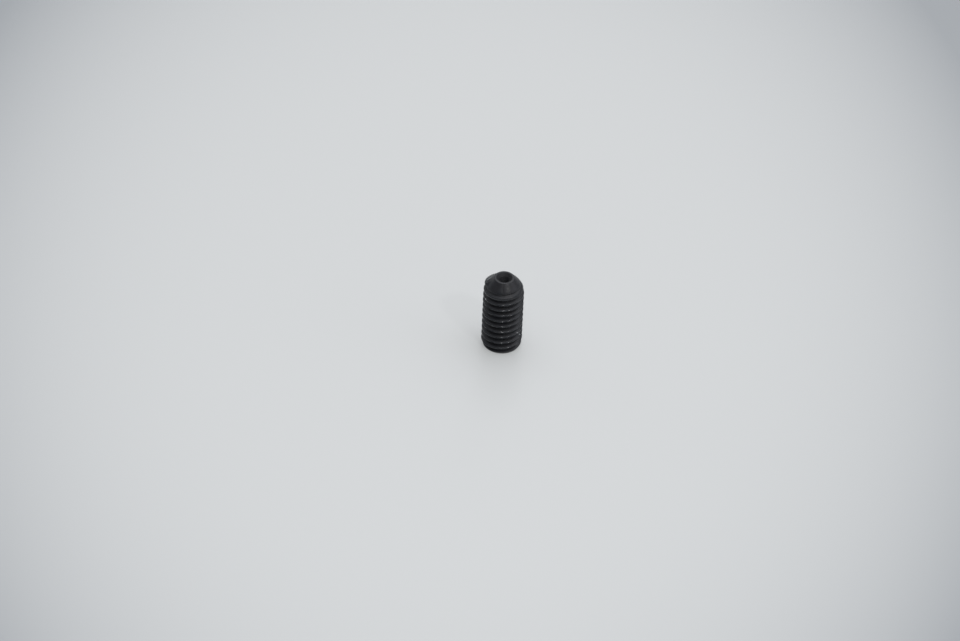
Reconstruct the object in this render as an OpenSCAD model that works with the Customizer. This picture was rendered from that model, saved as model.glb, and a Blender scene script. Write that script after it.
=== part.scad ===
// Socket set screw with a cup point, standing on its socket end.
// One piece of steel, in millimetres. The screw's axis is Z, and its socket
// end's flat face lies on Z = 0. The thread is held as the cylinder over its
// crests, which is the size that a tapped hole has to clear.

/* [Thread] */
// Diameter over the thread's crests, a little under the nominal 6
thread_d = 5.9; // [4.9:0.1:8]
// Overall length, from the socket end's face to the cup's rim
screw_length = 12; // [9:0.5:30]

/* [Socket end] */
// How far the end's chamfer cuts in from the crests
end_chamfer_w = 0.3; // [0.1:0.05:0.5]
// How far the end's chamfer runs up the screw
end_chamfer_h = 0.6; // [0.2:0.05:1]
// Width of the hex socket across its flats
socket_af = 3; // [2:0.1:3.8]
// Depth of the socket's flats
socket_depth = 3.5; // [2:0.1:5]
// How far the countersink at the socket's mouth runs past its corners
countersink_margin = 0.1; // [0.05:0.05:0.3]
// Included angle of that countersink
countersink_angle = 120; // [90:5:130]
// How far the drilled cone at the socket's bottom keeps inside the flats
drill_margin = 0.05; // [0.05:0.05:0.3]
// Included angle of that drilled cone
drill_angle = 118; // [100:1:140]

/* [Cup point] */
// Outer diameter of the cup's rim, which bites on the shaft
rim_d = 2.85; // [2:0.05:3.5]
// Width of the rim's flat land
rim_land = 0.25; // [0.05:0.05:0.4]
// Slope of the point's outer cone from the screw's axis
point_slope = 42; // [30:1:50]
// Included angle of the cup
cup_angle = 94; // [90:1:130]
// Diameter at which the cup turns into the steeper cone at its middle
core_d = 1.45; // [0.8:0.05:1.8]
// Included angle of that steeper cone
core_angle = 65; // [55:1:80]

/* [Hidden] */
// Facets of the round surfaces, and of the hex
$fn = 128;
HEX = 6;
// How far a cut runs past the face that it opens
over = 0.5;
// How far the cup's steeper cone runs up into the wide one
core_past = 0.2;

thread_r = thread_d / 2;
rim_r = rim_d / 2;
end_face_r = thread_r - end_chamfer_w;
point_h = (thread_r - rim_r) / tan(point_slope);
socket_corner_r = socket_af / 2 / cos(180 / HEX);
countersink_r = socket_corner_r + countersink_margin;
cup_r = rim_r - rim_land;
core_r = core_d / 2;
core_depth = (cup_r - core_r) / tan(cup_angle / 2);

// A cone that narrows downwards from radius r at z = 0, and that runs past
// z = 0 at the same slope by the height past
module cone_cut(r, angle, past) {
    slope = tan(angle / 2);
    translate([0, 0, -r / slope])
        cylinder(h = r / slope + past, r1 = 0, r2 = r + past * slope);
}

// The turned outside: flat socket end, chamfer, thread, and the point's cone
module blank() {
    color("#2b2c2f")
        rotate_extrude()
            polygon([
                [0, 0],
                [end_face_r, 0],
                [thread_r, end_chamfer_h],
                [thread_r, screw_length - point_h],
                [rim_r, screw_length],
                [0, screw_length]
            ]);
}

// The hexagon that the key turns, with its countersunk mouth and the cone
// that the drill left at the bottom
module hex_socket() {
    color("#1c1d1f") {
        translate([0, 0, -over])
            cylinder(h = socket_depth + over, r = socket_corner_r, $fn = HEX);
        mirror([0, 0, 1])
            cone_cut(countersink_r, countersink_angle, over);
        translate([0, 0, socket_depth])
            mirror([0, 0, 1])
                cone_cut(socket_af / 2 - drill_margin, drill_angle, 0);
    }
}

// The hollow that leaves the rim standing as a sharp ring: a wide cone, and
// a steeper one at its middle
module cup() {
    color("#1c1d1f") {
        translate([0, 0, screw_length])
            cone_cut(cup_r, cup_angle, over);
        translate([0, 0, screw_length - core_depth])
            cone_cut(core_r, core_angle, core_past);
    }
}

module set_screw() {
    difference() {
        blank();
        hex_socket();
        cup();
    }
}

set_screw();
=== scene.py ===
# %% [markdown]
# # A socket set screw with a cup point
#
# A set screw is a headless screw: a short threaded rod that a hex key turns
# from one end while the other end bites on a shaft. This one is an M6 screw,
# 12 mm long, standing on its socket end with the cup point up. The packed
# model holds its true size as a plain cylinder over the thread's crests. This
# script gives that cylinder its helical thread, its rolled and turned
# surfaces and its black oxide skin, without changing a dimension.

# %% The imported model
import math

import bpy
import numpy as np
from mathutils import Matrix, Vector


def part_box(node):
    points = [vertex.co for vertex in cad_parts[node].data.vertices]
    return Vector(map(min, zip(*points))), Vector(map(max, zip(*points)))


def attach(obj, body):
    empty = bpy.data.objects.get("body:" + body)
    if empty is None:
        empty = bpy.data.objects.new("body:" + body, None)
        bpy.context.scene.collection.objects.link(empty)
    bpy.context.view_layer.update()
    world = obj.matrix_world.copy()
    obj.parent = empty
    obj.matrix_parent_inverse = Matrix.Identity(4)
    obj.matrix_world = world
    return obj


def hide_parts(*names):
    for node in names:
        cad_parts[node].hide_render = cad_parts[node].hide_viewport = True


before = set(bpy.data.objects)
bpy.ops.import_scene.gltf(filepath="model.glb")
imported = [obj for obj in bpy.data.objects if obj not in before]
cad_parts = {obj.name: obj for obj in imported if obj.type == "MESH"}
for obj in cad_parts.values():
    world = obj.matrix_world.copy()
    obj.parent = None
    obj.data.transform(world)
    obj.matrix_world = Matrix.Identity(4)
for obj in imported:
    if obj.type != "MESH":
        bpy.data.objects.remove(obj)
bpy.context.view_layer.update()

# %% [markdown]
# ## Sizes
#
# Everything is worked out in millimetres, as a drawing of a screw would be,
# and turned to metres once, when a mesh is made. The crest radius and the
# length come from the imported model. The rest are the sizes of the two ends,
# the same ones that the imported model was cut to, and the thread's own pitch.

# %% Sizes in millimetres
MM = 0.001
node_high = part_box("set_screw")[1]
crest_r = round(node_high[0] / MM, 4)
screw_length = round(node_high[2] / MM, 4)
pitch = 1.0

# The socket end: its chamfer, hexagon, countersink and drilled cone
end_chamfer_w = 0.3
end_chamfer_h = 0.6
socket_af = 3.0
socket_depth = 3.5
countersink_margin = 0.1
countersink_angle = math.radians(120)
drill_margin = 0.05
drill_angle = math.radians(118)

# The cup point: its rim, outer cone, cup and the steeper cone at its middle
rim_r = 2.85 / 2
rim_land = 0.25
point_slope = math.radians(42)
cup_angle = math.radians(94)
core_r = 1.45 / 2
core_angle = math.radians(65)

end_face_r = crest_r - end_chamfer_w
cup_r = rim_r - rim_land
print(f"screw {2 * crest_r:.2f} mm over the crests, {screw_length:.2f} mm long")

# %% [markdown]
# ## The thread's profile
#
# An ISO thread is a 60 degree V with its crest cut flat an eighth of a pitch
# wide and its root rounded. A rolled thread has soft crest edges as well,
# because the metal flows up between the dies and never meets a cutter. One
# function gives the radius at any height above a crest, so the whole thread
# is that function wound round the axis. A smooth minimum rounds the places
# where two of its surfaces meet. The metal that wells up from both sides
# seldom fills the crest evenly, so the crest wanders by a few hundredths of a
# millimetre, and where the two sides meet they leave a fine lap along it.

# %% Thread profile
# The standard profile. The crest's flat and where the root begins are in
# pitches, the latter counted from the crest's middle
flank_angle = math.radians(30)
crest_flat = 1 / 8
root_from = 3 / 8
root_arc_r = 0.1443 * pitch
root_arc_depth = 0.4691 * pitch

# What rolling leaves: soft crest edges, a wandering crest and its lap
crest_rounding = 0.09
crest_wave = 0.016
lap_depth = 0.022
lap_width = 0.018


def smooth_min(a, b, width):
    """The smaller of a and b, less h * h * width / 4 where they are close,
    with h = max(0, 1 - |a - b| / width)."""
    h = np.clip(1 - np.abs(a - b) / width, 0, None)
    return np.minimum(a, b) - h * h * width / 4


def smooth_step(x, low, high):
    """0 below low, 1 above high, and t * t * (3 - 2 t) between them."""
    t = np.clip((x - low) / (high - low), 0, 1)
    return t * t * (3 - 2 * t)


def unevenness(azimuth, z, seed):
    """A smooth number from 0 to 1 that wanders over the screw: four waves
    sin(n * azimuth + k * z + phase), with whole numbers n so that it closes."""
    total = np.zeros(np.broadcast(azimuth, z).shape)
    for n, k in ((2, 1.9), (3, -2.7), (7, 3.3), (12, -1.3)):
        total = total + np.sin(n * azimuth + k * z + seed * n)
    return np.clip(0.5 + total / 6, 0, 1)


def thread_radius(phase, azimuth, z):
    """Radius at a height of phase pitches above a crest. With x the distance
    from the nearest crest in pitches, the flank falls by
    (x - 1/16) * pitch / tan(30), and the root, past x = 3/8, is a circle of
    0.1443 pitch whose centre lies 0.4691 pitch under the crests. The crest is
    low by up to crest_wave, and split by a lap exp(-(x / lap_width)^2)."""
    x = np.abs((phase + 0.5) % 1 - 0.5)
    flank = crest_r - (x - crest_flat / 2) * pitch / math.tan(flank_angle)
    low = crest_wave * unevenness(azimuth, z, 1.0)
    crest = smooth_min(crest_r - low, flank, crest_rounding)
    lap = lap_depth * smooth_step(unevenness(azimuth, z, 2.3), 0.35, 0.65)
    crest = crest - lap * np.exp(-((x * pitch / lap_width) ** 2))
    inside = np.clip(root_arc_r**2 - ((x - 0.5) * pitch) ** 2, 0, None)
    root = crest_r - root_arc_depth - np.sqrt(inside)
    return np.where(x > root_from, root, crest)


print(f"thread depth {crest_r - thread_radius(0.5, 0.0, 0.0):.3f} mm")

# %% [markdown]
# ## The side of the screw
#
# The thread doesn't stop at a wall: at both ends it simply runs out, where
# the turned end has already taken its crests away. So the side is the
# smallest of three surfaces: the thread, the point's cone, and the taper at
# the socket end. Towards the thread the cone widens less and less, with two
# soft shoulders, where the dies pressed on it, and the ridge that they raised
# where the thread starts stands on the cone.

# %% Side surface
# Height of the first crest at azimuth 0
crest_start = 0.34
# Radius at which each shoulder begins, and the cone's slope from there on
shoulders = ((0.80 * crest_r, math.radians(32)), (0.95 * crest_r, math.radians(13)))
# How softly these surfaces run into each other
cone_blend = 0.06
taper_blend = 0.05

# The ridge at the thread's start: its height on the cone, its half widths
# below and above the crest, and the parts of a turn where it grows and ends
ridge_height = 0.34
ridge_below = 0.24
ridge_above = 0.55
ridge_grows = (0.26, 0.44)
ridge_ends = (0.495, 0.555)


def point_radius(z):
    """The point's outside: a cone that widens downwards from the rim, and
    from each shoulder on a cone that widens less, each rounded into the one
    before by a smooth minimum."""
    radius, corner_r, corner_z, slope = None, rim_r, screw_length, point_slope
    for next_r, next_slope in (*shoulders, (None, None)):
        cone = corner_r + (corner_z - z) * math.tan(slope)
        radius = cone if radius is None else smooth_min(radius, cone, cone_blend)
        if next_r is not None:
            corner_z -= (next_r - corner_r) / math.tan(slope)
            corner_r, slope = next_r, next_slope
    return radius


def thread_start(azimuth, z):
    """How far the thread's start stands on the cone, from 0 to 1: a ridge
    exp(-(dz / width)^2) along the last crest, narrow below and wide above. It
    grows over the back of the screw and ends in a step at its left side."""
    turn = azimuth % (2 * math.pi) / (2 * math.pi)
    up = z - crest_start - pitch * (math.floor(screw_length / pitch) - 2 + turn)
    ridge = np.exp(-((up / np.where(up < 0, ridge_below, ridge_above)) ** 2))
    return ridge * smooth_step(turn, *ridge_grows) * (1 - smooth_step(turn, *ridge_ends))


def side_radius(azimuth, z):
    """Smallest of the thread, the point with the thread's start raised on it,
    and the end taper end_face_r + z * width / height, each rounded into the
    next."""
    thread = thread_radius((z - crest_start) / pitch - azimuth / (2 * math.pi), azimuth, z)
    point = point_radius(z) + ridge_height * thread_start(azimuth, z)
    taper = end_face_r + z * end_chamfer_w / end_chamfer_h
    return smooth_min(smooth_min(thread, point, cone_blend), taper, taper_blend)


# %% [markdown]
# ## A grid that winds with the thread
#
# A plain cylindrical grid would cut across the thread and leave its crests
# saw-toothed. A grid whose rows climb one pitch a turn keeps every row at one
# place on the profile. It is one long strip: row n of a column is row 0 of
# the same column a turn later. Where the strip runs past an end, its points
# are gathered onto that end's level ring, and the triangles that this
# flattens to nothing are left out, so the strip closes exactly on the ring.

# %% Helical strip
# Columns round the screw, rows to a pitch, and how far the rows are gathered
COLUMNS = 168
ROWS = 32
CROWDING = 0.55


def helical_strip(z_low, z_high):
    """Points (azimuth, z) of a strip with
    z = crest_start + pitch * (k / COLUMNS + v - start), v = (i + shift) / ROWS
    for column k and row i. The shift CROWDING * sin(4 pi i / ROWS) / (4 pi)
    gathers the rows at crests and roots. Points 0 to COLUMNS - 1 are the low
    ring, the next COLUMNS the high ring. Also gives the triangles."""
    start = math.ceil(crest_start / pitch) + 1
    turns = math.ceil(z_high / pitch) + start + 2
    row = np.arange(ROWS) / ROWS
    row = row - CROWDING * np.sin(4 * math.pi * row) / (4 * math.pi)
    column = np.arange(turns * COLUMNS)
    z = crest_start + pitch * (column[:, None] / COLUMNS + row - start)
    ring = np.arange(COLUMNS)
    azimuth = 2 * math.pi * (column % COLUMNS) / COLUMNS

    ids = np.arange(z.size).reshape(z.shape) + 2 * COLUMNS
    near = 0.3 * pitch / ROWS
    wrapped = np.broadcast_to((column % COLUMNS)[:, None], z.shape)
    ids = np.where(z < z_low + near, wrapped, ids)
    ids = np.where(z > z_high - near, wrapped + COLUMNS, ids)

    used = column[: (turns - 1) * COLUMNS - 1]
    upper = np.concatenate([ids[used][:, 1:], ids[used + COLUMNS][:, :1]], axis=1)
    upper_next = np.concatenate(
        [ids[used + 1][:, 1:], ids[used + 1 + COLUMNS][:, :1]], axis=1)
    a, b, c, d = ids[used], ids[used + 1], upper_next, upper
    faces = np.concatenate([np.stack([a, b, c], -1).reshape(-1, 3),
                            np.stack([a, c, d], -1).reshape(-1, 3)])
    distinct = ((faces[:, 0] != faces[:, 1]) & (faces[:, 1] != faces[:, 2])
                & (faces[:, 2] != faces[:, 0]))
    azimuths = np.concatenate([2 * math.pi * ring / COLUMNS] * 2
                              + [np.repeat(azimuth, ROWS)])
    heights = np.concatenate([np.full(COLUMNS, z_low), np.full(COLUMNS, z_high),
                              z.ravel()])
    return azimuths, heights, faces[distinct]


# The strip ends where the rounded edges of the foot and the rim begin
edge_round = 0.05
top_z = screw_length - 2 * edge_round * math.cos(point_slope)
azimuths, heights, strip_faces = helical_strip(edge_round, top_z)
print(f"strip of {len(strip_faces)} triangles")

# %% [markdown]
# ## The two ends
#
# Each end is a meridian carried round the axis: from the strip's last ring,
# over the edge, across the face and down into the cup or the socket. The hex
# socket isn't round, but its radius is only a function of azimuth, so it fits
# the same rings: 28 columns for each of its six flats, with a column on each
# corner. Every edge of a real screw is broken a little, by rolling, by
# tumbling and by the oxide itself, so each corner of the meridian is a short
# curve and not a line.

# %% Meridians of the two ends
ring_azimuth = 2 * math.pi * np.arange(COLUMNS) / COLUMNS
# Rings on each rounded corner, and how far off the rings beside it lie, in cuts
ARC_STEPS = 5
SUPPORT = 1.5


def meridian(corners):
    """Rings (radius, z) along corners (radius, z, cut). A corner B with a cut
    becomes B + cut * ((1 - s)^2 * back + s^2 * ahead) for s from 0 to 1, with
    unit vectors back and ahead to its neighbours. One ring more on each side,
    at B + SUPPORT * cut, keeps the face beside the curve flat in its shading."""
    at = [np.stack(np.broadcast_arrays(r, z, ring_azimuth)[:2], -1)
          for r, z, cut in corners]
    rings = [at[0]]
    for i in range(1, len(at)):
        cut = corners[i][2]
        if cut == 0:
            rings.append(at[i])
            continue
        back, ahead = at[i - 1] - at[i], at[i + 1] - at[i]
        back = back / np.linalg.norm(back, axis=-1, keepdims=True)
        ahead = ahead / np.linalg.norm(ahead, axis=-1, keepdims=True)
        rings.append(at[i] + SUPPORT * cut * back)
        for s in np.linspace(0, 1, ARC_STEPS):
            rings.append(at[i] + cut * ((1 - s) ** 2 * back + s**2 * ahead))
        rings.append(at[i] + SUPPORT * cut * ahead)
    return np.array(rings)


def cone_height(radius, angle):
    """Height of a cone of this included angle, radius / tan(angle / 2)."""
    return radius / math.tan(angle / 2)


sixth = math.pi / 3
hex_r = socket_af / 2 / np.cos(ring_azimuth % sixth - sixth / 2)
countersink_r = socket_af / 2 / math.cos(sixth / 2) + countersink_margin
mouth_z = cone_height(countersink_r - hex_r, countersink_angle)
drill_r = socket_af / 2 - drill_margin
core_z = screw_length - cone_height(cup_r - core_r, cup_angle)
# Radius at which a cone's tip begins to be blunt
tip_r = 0.08

socket_end = meridian([
    (side_radius(ring_azimuth, edge_round), edge_round, 0),
    (side_radius(ring_azimuth, 0), 0, 0.6 * edge_round),
    (countersink_r, 0, 0.03),
    (hex_r, mouth_z, 0.03),
    (hex_r, socket_depth, 0.02),
    (drill_r, socket_depth, 0.01),
    (tip_r, socket_depth + cone_height(drill_r - tip_r, drill_angle), 0.03),
    (0, socket_depth + cone_height(drill_r, drill_angle), 0)])
cup_end = meridian([
    (side_radius(ring_azimuth, top_z), top_z, 0),
    (rim_r, screw_length, edge_round),
    (cup_r, screw_length, 0.8 * edge_round),
    (core_r, core_z, 0.05),
    (tip_r, core_z - cone_height(core_r - tip_r, core_angle), 0.04),
    (0, core_z - cone_height(core_r - tip_r, core_angle) - 0.3 * tip_r, 0)])
print(f"{len(socket_end)} rings at the socket end, {len(cup_end)} at the cup")

# %% [markdown]
# ## Wear and painted shade
#
# The oxide is only about a micrometre thick. It rubs thin first where the
# metal stands proud: along the crests, round the cup's rim and round the foot.
# Handling among other screws leaves a few nicks in the crests, where clean
# steel shows, while nothing ever polishes the cup, the socket and the mark
# that was pressed into the cone. Each point of the mesh carries three numbers
# for this, worn, bare and sheltered, so that the finish can follow the shape.
# The third also carries painted shade: a darker colour in the cup and the
# socket, and a dark line painted down the press mark as a dark reflection.

# %% Nicks and marks
# Azimuth in degrees, height, half length, half height, tilt in degrees, depth,
# and the share of the oxide that came off. The last but one is a scuff across
# the ridge where the thread starts, and the last is a press mark down the
# point's cone, which took off none; a dark line is painted along it as a dark
# reflection.
marks = np.array([
    [-30.5, 2.87, 0.85, 0.10, -45, 0.080, 0.9],
    [-152.5, 8.93, 0.20, 0.10, 15, 0.055, 1.0],
    [118.0, 6.65, 0.25, 0.09, -20, 0.045, 0.8],
    [64.0, 2.51, 0.15, 0.10, 30, 0.040, 0.9],
    [8.0, 9.37, 0.14, 0.08, -30, 0.035, 0.8],
    [-118.0, 5.01, 0.10, 0.06, 20, 0.030, 0.5],
    [30.0, 6.43, 0.12, 0.06, 60, 0.030, 0.6],
    [167.0, 11.33, 0.42, 0.10, -48, 0.012, 0.75],
    [-91.5, 11.15, 0.15, 0.65, 4, 0.042, 0.0],
])
# Depths under the outline at which nothing and everything touches the steel
out_of_reach = 0.35
within_reach = 0.02


def mark_field(azimuth, z, strength):
    """Sum over the marks of strength * exp(-(a^2 + h^2)), with a and h the
    distances along and up from the mark, turned by its tilt and counted in
    its own half length and half height."""
    total = np.zeros(np.broadcast(azimuth, z).shape)
    for (turn, height, half_length, half_height, tilt, *_), most in zip(marks, strength):
        away = (azimuth - math.radians(turn) + math.pi) % (2 * math.pi) - math.pi
        along, up = away * np.minimum(crest_r, point_radius(z)), z - height
        c, s = math.cos(math.radians(tilt)), math.sin(math.radians(tilt))
        a, h = (c * along + s * up) / half_length, (c * up - s * along) / half_height
        total = total + most * np.exp(-(a**2 + h**2))
    return total


def proud(radius, z):
    """1 on the surface that other things can touch, the crests and the cone,
    and 0 from out_of_reach below it."""
    outline = np.minimum(crest_r, point_radius(z))
    return smooth_step(radius, outline - out_of_reach, outline - within_reach)


# %% The screw's mesh
def ring_faces(first, last, upward):
    """Triangles between two rings of ids, facing outwards when the second
    ring is further up the screw's side, and turned over when it isn't."""
    a, b = first, np.roll(first, -1)
    d, c = last, np.roll(last, -1)
    faces = np.concatenate([np.stack([a, b, c], -1), np.stack([a, c, d], -1)])
    return faces if upward else faces[:, ::-1]


side_r = side_radius(azimuths, heights)
side_r = side_r - mark_field(azimuths, heights, marks[:, 5]) * proud(side_r, heights)
points = [np.stack([side_r, heights, azimuths], -1)]
faces = [strip_faces]
count = len(azimuths)
low_ring, high_ring = np.arange(COLUMNS), np.arange(COLUMNS) + COLUMNS
for end, ring, upward in ((socket_end, low_ring, False), (cup_end, high_ring, True)):
    for level in end[1:-1]:
        points.append(np.concatenate([level, ring_azimuth[:, None]], -1))
        new_ring = np.arange(COLUMNS) + count
        count += COLUMNS
        faces.append(ring_faces(ring, new_ring, upward))
        ring = new_ring
    points.append(np.array([[0, end[-1, 0, 1], 0]]))
    fan = np.stack([ring, np.roll(ring, -1), np.full(COLUMNS, count)], -1)
    faces.append(fan if upward else fan[:, ::-1])
    count += 1

points, faces = np.concatenate(points), np.concatenate(faces)
kept, faces = np.unique(faces, return_inverse=True)
radius, height, azimuth = points[kept].T
faces = faces.reshape(-1, 3)
xyz = np.stack([radius * np.cos(azimuth), radius * np.sin(azimuth), height], -1)

screw_mesh = bpy.data.meshes.new("threaded_body")
screw_mesh.from_pydata((xyz * MM).tolist(), [], faces.tolist())
screw_mesh.update()
a, b, c = (xyz[faces[:, i]] for i in range(3))
volume = np.einsum("ij,ij->i", a, np.cross(b, c)).sum() / 6
steel_density = 7.85e-3
print(f"{len(kept)} points, {len(faces)} triangles, {volume:.1f} cubic mm, "
      f"{volume * steel_density:.2f} g of steel")

# %% [markdown]
# The three numbers go on as point attributes. Edges of the hex socket turn
# by 60 degrees from flat to flat, and are marked sharp. Everything else is
# shaded smooth, because its curves are already in the mesh.

# %% How worn, bare and sheltered each point is, and where shade is painted
# Depths under the crests at which rubbing begins and is full
rub_begins = 0.16
rub_full = 0.05
# Heights and radii of the foot between which rubbing goes from none to full
foot_heights = (0.12, 0.02)
foot_radii = (end_face_r - 0.65, end_face_r - 0.30)
# A nick bares steel this much deeper than other things reach
nick_past_reach = 0.12
# Half the width of the step from a hollow to the land round it
hollow_edge = 0.03
# Width of the step from the rim to the painted dark reflection in the press mark
reflection_line_edge = 0.1


def near_ring(ring_r, ring_z, half_width, half_height):
    """exp(-(r^2 + z^2)), with r and z the distances from a ring round the
    axis, counted in its half width and half height."""
    return np.exp(-(((radius - ring_r) / half_width) ** 2
                    + ((height - ring_z) / half_height) ** 2))


crests = smooth_step(radius, crest_r - rub_begins, crest_r - rub_full)
ridge = smooth_step(thread_start(azimuth, height), 0.35, 0.8) * proud(radius, height)
rim = near_ring(rim_r, screw_length, 0.09, 0.07)
cup_lip = near_ring(cup_r, screw_length, 0.05, 0.04)
foot = smooth_step(height, *foot_heights) * smooth_step(radius, *foot_radii)
worn = np.clip(crests + ridge + 0.2 * rim + 0.25 * cup_lip + 0.7 * foot, 0, 1)

bare = mark_field(azimuth, height, marks[:, 6]) * proud(radius + nick_past_reach, height)
bare = np.clip(bare, 0, 1)

# The cup and the socket, which get a darker colour as painted shade, and the
# press mark that bared no steel, which gets a dark line as a painted reflection
hollow_r = np.where(height > screw_length / 2, cup_r, countersink_r)
hollow = smooth_step(hollow_r - radius, -hollow_edge, hollow_edge)
painted_reflection_line = mark_field(azimuth, height, marks[:, 6] == 0)
painted_reflection_line = painted_reflection_line * smooth_step(radius, rim_r, rim_r + reflection_line_edge)
sheltered_and_shaded = np.maximum(hollow, painted_reflection_line)

# %% The screw object
# The third attribute also carries painted shade in the hollows and a painted dark reflection
# down the cone
for name, values in (("worn", worn), ("bare", bare), ("sheltered_and_shaded", sheltered_and_shaded)):
    attribute = screw_mesh.attributes.new(name, "FLOAT", "POINT")
    attribute.data.foreach_set("value", values.astype(np.float32))
screw_mesh.polygons.foreach_set("use_smooth", np.ones(len(faces), dtype=bool))
screw_mesh.set_sharp_from_angle(angle=math.radians(45))
screw = bpy.data.objects.new("set_screw_threaded", screw_mesh)
bpy.context.scene.collection.objects.link(screw)
print(f"{(worn > 0.5).mean():.0%} of the points are worn, {(bare > 0.5).sum()} bare")

# %% [markdown]
# ## Black oxide
#
# Black oxide is magnetite grown on the steel in a hot bath, and then oiled.
# Magnetite bends light strongly, but the oil that fills its pores softens the
# step, so the skin reflects a little more than black plastic does. Under that
# it is near-black, bluish in one place and brownish in the next, because the
# bath grows it thicker here and thinner there. Where it has rubbed thin, the
# crests are smoother and the steel's own grey comes through.
#
# The oxide is too thin to hide how the steel was made. The dies dragged fine
# lines along the thread, the lathe cut fine rings in the point, the cup and
# the flat end, and the broach scored the flats of the socket lengthwise. All
# of these run along places of one distance from the axis, so one noise that
# changes fast with that distance, and slowly with place, draws all three.

# %% Colours and nodes
def linear(hex_colour):
    """Linear RGBA of an sRGB hex colour: c / 12.92 up to 0.04045, and
    ((c + 0.055) / 1.055) ^ 2.4 above it."""
    c = np.array([int(hex_colour[i:i + 2], 16) for i in (1, 3, 5)]) / 255
    c = np.where(c <= 0.04045, c / 12.92, ((c + 0.055) / 1.055) ** 2.4)
    return (*c.tolist(), 1.0)


def add_node(tree, kind, inputs=None, **settings):
    """Add a node with its settings. Each input is given a value, or is linked
    to another node: to the output given, or to the first one in use. A Mix
    node blends numbers from input 2 to 3, and colours from input 6 to 7."""
    node = tree.nodes.new(kind)
    for name, value in settings.items():
        setattr(node, name, value)
    for key, value in (inputs or {}).items():
        if isinstance(value, bpy.types.Node):
            value = next(out for out in value.outputs if out.enabled)
        if isinstance(value, bpy.types.NodeSocket):
            tree.links.new(value, node.inputs[key])
        else:
            node.inputs[key].default_value = value
    return node


def new_material(name):
    """A material with an empty node tree, and its output node."""
    material = bpy.data.materials.new(name)
    material.use_nodes = True
    material.node_tree.nodes.clear()
    return material, material.node_tree, add_node(material.node_tree, "ShaderNodeOutputMaterial")


# %% What the oxide follows
oxide, tree, output = new_material("black_oxide_on_steel")
place = add_node(tree, "ShaderNodeTexCoord").outputs["Object"]
# The third attribute marks the sheltered places, and also carries painted shade in the hollows
# and a painted dark reflection down the cone
worn_at, bare_at, sheltered_and_shaded_at = (
    add_node(tree, "ShaderNodeAttribute", attribute_name=name).outputs["Fac"]
    for name in ("worn", "bare", "sheltered_and_shaded"))

# Noise whose lumps are about so many mm across: a scale of 1 / size
cloud, speckle, fine = (
    add_node(tree, "ShaderNodeTexNoise", {
        "Vector": place, "Scale": 1 / (size * MM), "Detail": detail, "Roughness": roughness})
    for size, detail, roughness in ((2.2, 3.0, 0.5), (0.09, 3.0, 0.6), (0.035, 2.0, 0.6)))

# Tool lines, as wide and as long as this in mm: a noise of place, on the
# scale of their length, and of the distance from the axis, length / width
# times faster
line_width = 0.09
line_length = 2.5
flat_place = add_node(tree, "ShaderNodeMapping", {"Vector": place, "Scale": (1, 1, 0)})
from_axis = add_node(tree, "ShaderNodeVectorMath", {0: flat_place}, operation="LENGTH")
across = add_node(tree, "ShaderNodeMath", {0: from_axis, 1: line_length / line_width},
                  operation="MULTIPLY")
lines = add_node(tree, "ShaderNodeTexNoise", {
    "Vector": place, "W": across, "Scale": 1 / (line_length * MM),
    "Detail": 3.0, "Roughness": 0.6}, noise_dimensions="4D")

# %% Where each finish shows
# In a nick the oxide came off in specks, so the clean steel has a ragged edge
bare_specks = add_node(tree, "ShaderNodeMath", {0: bare_at, 1: speckle}, operation="MULTIPLY")

# Each rises smoothly from 0 at the first number to 1 at the second
brownish, smoother, specked, lined, thinned, clean = (
    add_node(tree, "ShaderNodeMapRange", {"Value": pattern, "From Min": none, "From Max": full},
             interpolation_type="SMOOTHSTEP")
    for pattern, none, full in (
        (cloud, 0.35, 0.65), (cloud, 0.30, 0.70), (speckle, 0.35, 0.75),
        (lines, 0.50, 0.80), (speckle, 0.22, 0.52), (bare_specks, 0.12, 0.24)))

# On the crests it rubs thin in specks too, and the hollows and the press mark
# are darkened: painted shade and a painted dark reflection
rubbed, painted_shade_and_reflection = (
    add_node(tree, "ShaderNodeMath", {0: where, 1: share}, operation="MULTIPLY")
    for where, share in ((worn_at, thinned), (sheltered_and_shaded_at, 0.7)))

# %% Colour of the oxide
# Bluish black with brownish clouds in it, then paler specks and tool lines,
# painted shade in the hollows and a painted dark reflection down the cone,
# the thin skin on the crests, and clean steel in the nicks
colour = linear("#10141a")
for where, over in ((brownish, "#1f1e1f"), (specked, "#202228"), (lined, "#1e2026"),
                    (painted_shade_and_reflection, "#0d0e10"), (rubbed, "#25282d"), (clean, "#a9aaab")):
    colour = add_node(tree, "ShaderNodeMix", {0: where, 6: colour, 7: linear(over)},
                      data_type="RGBA")

# %% Gloss and relief of the oxide
# The same layers as roughness: dull in the hollows, and smooth on the crests
gloss = 0.40
for where, over in ((smoother, 0.30), (specked, 0.46), (sheltered_and_shaded_at, 0.62),
                    (rubbed, 0.10), (clean, 0.30)):
    gloss = add_node(tree, "ShaderNodeMix", {0: where, 2: gloss, 3: over}, data_type="FLOAT")

# The relief is lines with some fine grain in them, at most this many mm deep,
# and it fades where the oxide is worn
relief_depth = 0.014
relief = add_node(tree, "ShaderNodeMix", {0: 0.30, 2: lines, 3: fine}, data_type="FLOAT")
unworn = add_node(tree, "ShaderNodeMapRange", {
    "Value": worn_at, "From Min": 0.2, "From Max": 0.9, "To Min": 1.0, "To Max": 0.15},
    interpolation_type="SMOOTHSTEP")
relief = add_node(tree, "ShaderNodeMath", {0: relief, 1: unworn}, operation="MULTIPLY")
bump = add_node(tree, "ShaderNodeBump", {
    "Height": relief, "Strength": 1.0, "Distance": relief_depth * MM})
steel = add_node(tree, "ShaderNodeBsdfPrincipled", {
    "Base Color": colour, "Metallic": clean, "Roughness": gloss, "IOR": 1.53,
    "Normal": bump})
tree.links.new(steel.outputs["BSDF"], output.inputs["Surface"])
screw_mesh.materials.append(oxide)

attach(screw, "root")
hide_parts("set_screw")

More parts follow.
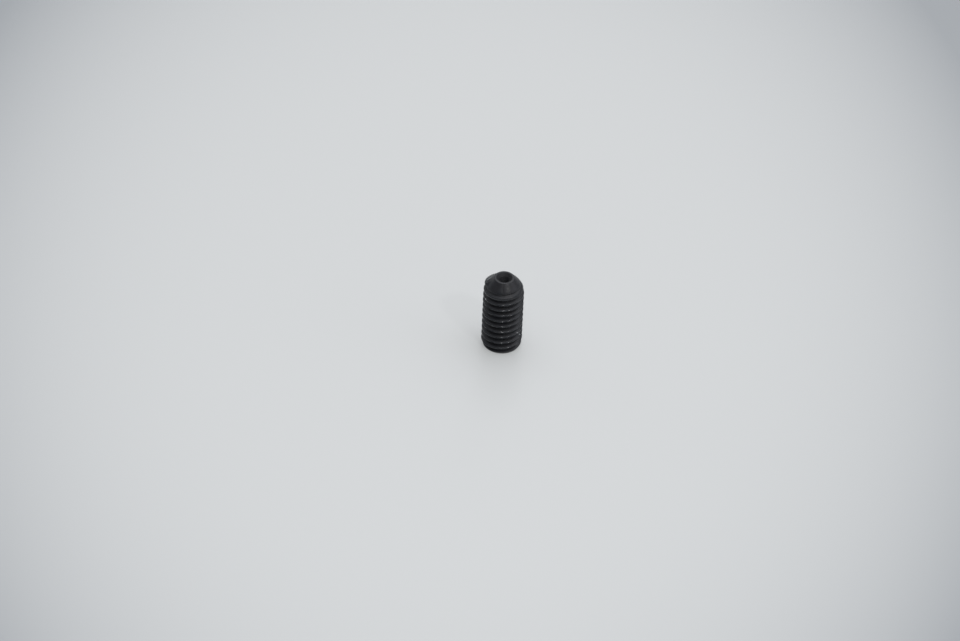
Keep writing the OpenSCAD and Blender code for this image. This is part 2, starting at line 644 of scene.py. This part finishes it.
# %% [markdown]
# ## The table
#
# The screw stands on a sheet of pale, slightly glossy acrylic. Its gloss
# matters: it shows a dim upside-down screw below the real one, which tells
# the eye where the screw stands. Its colour carries painted light: paler round
# the screw and darker further out, and a share of it painted on as a glow,
# which lightens the screw's shadow. Far from the screw the sheet fades into one
# flat grey, the same as the surroundings near the horizon, so that from low
# down it ends in a soft band and not in an edge.

# %% Pale acrylic sheet
backdrop = linear("#abafb3")
FLOOR_R = 500.0


def disc(radii, columns=96):
    """Points (x, y, 0) on rings of these radii, the first one being the
    centre, and the faces between them."""
    turn = 2 * math.pi * np.arange(columns) / columns
    xy = np.stack([np.outer(radii[1:], np.cos(turn)), np.outer(radii[1:], np.sin(turn))], -1)
    xy = np.concatenate([[[0.0, 0.0]], xy.reshape(-1, 2)])
    ring = np.arange(columns) + 1
    faces = np.stack([np.zeros_like(ring), ring, np.roll(ring, -1)], -1).tolist()
    for step in range(len(radii) - 2):
        a = ring + step * columns
        b = np.roll(a, -1)
        faces += np.stack([a, a + columns, b + columns, b], -1).tolist()
    return np.concatenate([xy, np.zeros((len(xy), 1))], 1), faces


floor_points, floor_faces = disc([0, 5, 20, 60, 150, FLOOR_R])
floor_mesh = bpy.data.meshes.new("acrylic_sheet")
floor_mesh.from_pydata((floor_points * MM).tolist(), [], floor_faces)
floor = bpy.data.objects.new("acrylic_sheet", floor_mesh)
bpy.context.scene.collection.objects.link(floor)

# %% Colour of the sheet, with a painted pool of light
acrylic, tree, output = new_material("pale_acrylic_sheet")
place = add_node(tree, "ShaderNodeTexCoord").outputs["Object"]

# The sheet's colour paints a pool of light. It falls off over an oval round the
# screw, slowly and then fast: as this power of the distance from its middle,
# out to this reach in mm. The shift, in mm, brings that middle to the origin,
# and distances in depth count for less than those across.
oval_shift = (5.3, -3.5)
oval_depth = 0.64
oval_reach = 83.0
falloff_power = 4.5
oval = add_node(tree, "ShaderNodeMapping", {
    "Vector": place, "Location": (oval_shift[0] * MM, oval_shift[1] * MM, 0),
    "Scale": (1, oval_depth, 1)})
from_middle, from_screw = (
    add_node(tree, "ShaderNodeVectorMath", {0: where}, operation="LENGTH")
    for where in (oval, place))
out_of_light = add_node(tree, "ShaderNodeMapRange", {
    "Value": from_middle, "From Max": oval_reach * MM})
dimming = add_node(tree, "ShaderNodeMath", {0: out_of_light, 1: falloff_power},
                   operation="POWER")
# Painted light: the sheet's colour dims from its pale middle to a grey outside the oval
sheet_colour_with_painted_light = add_node(tree, "ShaderNodeMix", {
    0: dimming, 6: linear("#e1e3e2"), 7: linear("#adb1b4")}, data_type="RGBA")
sheet = add_node(tree, "ShaderNodeBsdfPrincipled", {
    "Base Color": sheet_colour_with_painted_light, "Roughness": 0.30, "IOR": 1.49})

# %% Painted glow and far edge of the sheet
# 1 for the rays that show the sheet, directly or in a reflection, and 0 for
# those that only carry its light
path = add_node(tree, "ShaderNodeLightPath")
seen = path.outputs["Is Camera Ray"]
for kind in ("Is Glossy Ray", "Is Transmission Ray"):
    seen = add_node(tree, "ShaderNodeMath", {0: seen, 1: path.outputs[kind]},
                    operation="MAXIMUM")

# Over the sheet's surface comes a painted glow, the share of its own colour
# that glows, which lightens the screw's shadow, and then, between two distances
# from the screw in mm, the flat grey
painted_glow_share = 0.33
fade_from = 110.0
fade_to = 240.0
far = add_node(tree, "ShaderNodeMapRange", {
    "Value": from_screw, "From Min": fade_from * MM, "From Max": fade_to * MM},
    interpolation_type="SMOOTHSTEP")
surface = sheet
for share, flat_colour in ((painted_glow_share, sheet_colour_with_painted_light), (far, backdrop)):
    shown = add_node(tree, "ShaderNodeMath", {0: seen, 1: share}, operation="MULTIPLY")
    flat = add_node(tree, "ShaderNodeEmission", {"Color": flat_colour})
    surface = add_node(tree, "ShaderNodeMixShader", {0: shown, 1: surface, 2: flat})
tree.links.new(surface.outputs["Shader"], output.inputs["Surface"])
floor_mesh.materials.append(acrylic)

# %% [markdown]
# ## The light
#
# Black and shiny things are lit by what they reflect. The surroundings are a
# light tent: a broad bright panel overhead, leaning a little to the back and
# the right, plain dim sides, and a pale board low on the right, which the
# point's cone shows as a soft highlight. The crests see the table and the
# panel and read pale, while the flanks between them see little but each
# other, which is what makes the thread read. A broad light also leaves only
# weak shadows, close round the screw's foot. Four small lamps put lines of
# sparks down the crests on every side, as a workshop's lights do on anything
# round and turned. The two in front hang high, so that each crest still keeps
# the groove below it dark. The two at the back hang low and light the
# shoulders.

# %% Tent
world = bpy.data.worlds.new("light_tent")
bpy.context.scene.world = world
world.use_nodes = True
tree = world.node_tree
tree.nodes.clear()
direction = add_node(tree, "ShaderNodeTexCoord").outputs["Generated"]
height_of = add_node(tree, "ShaderNodeSeparateXYZ", {"Vector": direction}).outputs["Z"]

# The dim sides are a little lighter towards the right. How far a direction
# points towards another is their dot product.
to_right = add_node(tree, "ShaderNodeVectorMath", {0: direction, 1: (0.8, 0.6, 0.0)},
                    operation="DOT_PRODUCT")
level = add_node(tree, "ShaderNodeMapRange", {
    "Value": to_right, "From Min": -0.9, "From Max": 0.9, "To Min": 0.23, "To Max": 0.28},
    interpolation_type="SMOOTHSTEP")

# The board low on the right, and then the panel overhead: the direction of
# its middle, the dot products at its outer and inner edge, and its level
for middle, outer, inner, full_level in (
        ((0.88, -0.10, 0.46), 0.90, 0.99, 0.95), ((0.12, 0.30, 0.946), 0.60, 0.98, 1.43)):
    to_middle = add_node(tree, "ShaderNodeVectorMath", {0: direction, 1: middle},
                         operation="DOT_PRODUCT")
    inside = add_node(tree, "ShaderNodeMapRange", {
        "Value": to_middle, "From Min": outer, "From Max": inner},
        interpolation_type="SMOOTHSTEP")
    level = add_node(tree, "ShaderNodeMix", {0: inside, 2: level, 3: full_level},
                     data_type="FLOAT")

# Its cloth is a little blue, and near the horizon it meets the backdrop
green, blue = (
    add_node(tree, "ShaderNodeMath", {0: level, 1: share}, operation="MULTIPLY")
    for share in (1.012, 1.06))
tent_colour = add_node(tree, "ShaderNodeCombineColor", {
    "Red": level, "Green": green, "Blue": blue})
above = add_node(tree, "ShaderNodeMapRange", {
    "Value": height_of, "From Min": 0.02, "From Max": 0.25}, interpolation_type="SMOOTHSTEP")
sky = add_node(tree, "ShaderNodeMix", {0: above, 6: backdrop, 7: tent_colour},
               data_type="RGBA")
background = add_node(tree, "ShaderNodeBackground", {"Color": sky, "Strength": 1.0})
add_node(tree, "ShaderNodeOutputWorld", {"Surface": background})


# %% Lamps
def soft_lamp(name, azimuth, elevation, distance, size, watts):
    """A white square area lamp, size mm wide and distance mm from the screw's
    middle, facing it. Azimuth is counted in degrees from +X towards +Y."""
    a, e = math.radians(azimuth), math.radians(elevation)
    away = np.array([math.cos(e) * math.cos(a), math.cos(e) * math.sin(a), math.sin(e)])
    lamp = bpy.data.lights.new(name, "AREA")
    lamp.size = size * MM
    lamp.energy = watts
    rig = bpy.data.objects.new(name, lamp)
    rig.location = (away * distance + (0, 0, screw_length / 2)) * MM
    rig.rotation_euler = (math.pi / 2 - e, 0, a + math.pi / 2)
    rig.visible_camera = False
    bpy.context.scene.collection.objects.link(rig)


soft_lamp("key_lamp", -52, 47, 600, 40, 0.27)
soft_lamp("front_lamp", -96, 56, 600, 30, 0.18)
soft_lamp("back_left_lamp", 145, 12, 600, 200, 0.10)
soft_lamp("back_right_lamp", 80, 20, 600, 120, 0.08)

# %% [markdown]
# ## The camera
#
# A long lens from about a metre and a half away keeps the screw's sides
# parallel. The camera looks 40 degrees down, with the horizon tipped by under
# three degrees. It is aimed three millimetres to the left of the middle of
# the screw's foot, and three above it, as the picture shows them.

# %% Camera
view_elevation = math.radians(39.7)
roll = math.radians(2.67)
distance = 1536.0
aim_left = 3.06
aim_up = 3.05

right = np.array([1.0, 0.0, 0.0])
upward = np.array([0.0, math.sin(view_elevation), math.cos(view_elevation)])
backward = np.array([0.0, -math.cos(view_elevation), math.sin(view_elevation)])
cam_x = math.cos(roll) * right + math.sin(roll) * upward
cam_y = -math.sin(roll) * right + math.cos(roll) * upward
aim = -aim_left * cam_x + aim_up * cam_y
turn = np.stack([cam_x, cam_y, backward], 1)

lens = bpy.data.cameras.new("long_lens")
lens.lens = 400.0
lens.sensor_width = 36.0
lens.clip_end = 10.0
camera = bpy.data.objects.new("camera", lens)
bpy.context.scene.collection.objects.link(camera)
matrix = np.eye(4)
matrix[:3, :3] = turn
matrix[:3, 3] = (aim + distance * backward) * MM
camera.matrix_world = Matrix(matrix.tolist())
bpy.context.scene.camera = camera
bpy.context.scene.view_settings.view_transform = "Standard"
print(f"camera {np.round(matrix[:3, 3], 3).tolist()} m")
